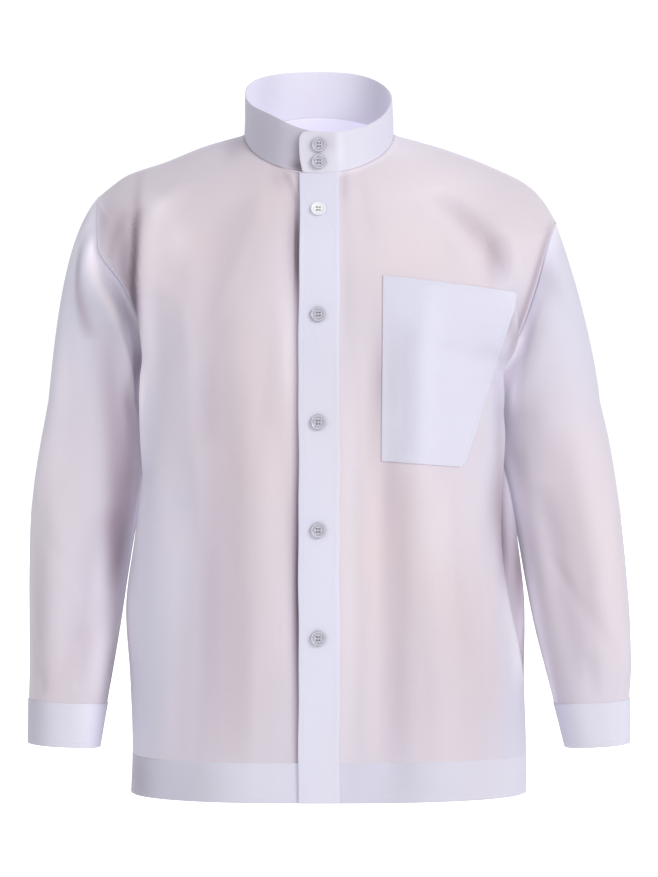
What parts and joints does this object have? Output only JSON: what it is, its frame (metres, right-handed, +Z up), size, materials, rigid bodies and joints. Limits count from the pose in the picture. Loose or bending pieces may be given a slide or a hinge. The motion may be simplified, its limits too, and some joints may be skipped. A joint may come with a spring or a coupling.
{
  "type": "mandarin collar shirt",
  "caption": "Long-sleeved shirt with a stand-up band collar, button placket, slanted chest pocket and banded hem, in the hollow form it has when worn.",
  "frame": {"origin": "centre of the neck opening, level with the inner ends of the shoulder seams", "axes": "+Z up to the head, -Y out of the front with the placket, +X to the wearer's left"},
  "size_m": [0.6179, 0.2481, 0.7463],
  "materials": {
    "right_front": "matte",
    "left_front": "matte",
    "back": "matte",
    "right_sleeve": "matte",
    "left_sleeve": "matte",
    "right_front_hem": "matte",
    "left_front_hem": "matte",
    "back_hem": "matte",
    "placket": "matte",
    "collar": "matte",
    "right_cuff": "matte",
    "left_cuff": "matte",
    "pocket": "matte",
    "placket_button_1": "satin",
    "placket_button_2": "satin",
    "placket_button_3": "satin",
    "placket_button_4": "satin",
    "placket_button_5": "satin",
    "collar_button_1": "satin",
    "collar_button_2": "satin",
    "right_cuff_button": "satin",
    "left_cuff_button": "satin"
  },
  "bodies": {
    "root": {"right_front": "right_front", "left_front": "left_front", "back": "back", "right_sleeve": "right_sleeve", "left_sleeve": "left_sleeve", "right_front_hem": "right_front_hem", "left_front_hem": "left_front_hem", "back_hem": "back_hem", "placket": "placket", "collar": "collar", "right_cuff": "right_cuff", "left_cuff": "left_cuff", "pocket": "pocket", "placket_button_1": "placket_button_1", "placket_button_2": "placket_button_2", "placket_button_3": "placket_button_3", "placket_button_4": "placket_button_4", "placket_button_5": "placket_button_5", "collar_button_1": "collar_button_1", "collar_button_2": "collar_button_2", "right_cuff_button": "right_cuff_button", "left_cuff_button": "left_cuff_button"}
  },
  "joints": []
}
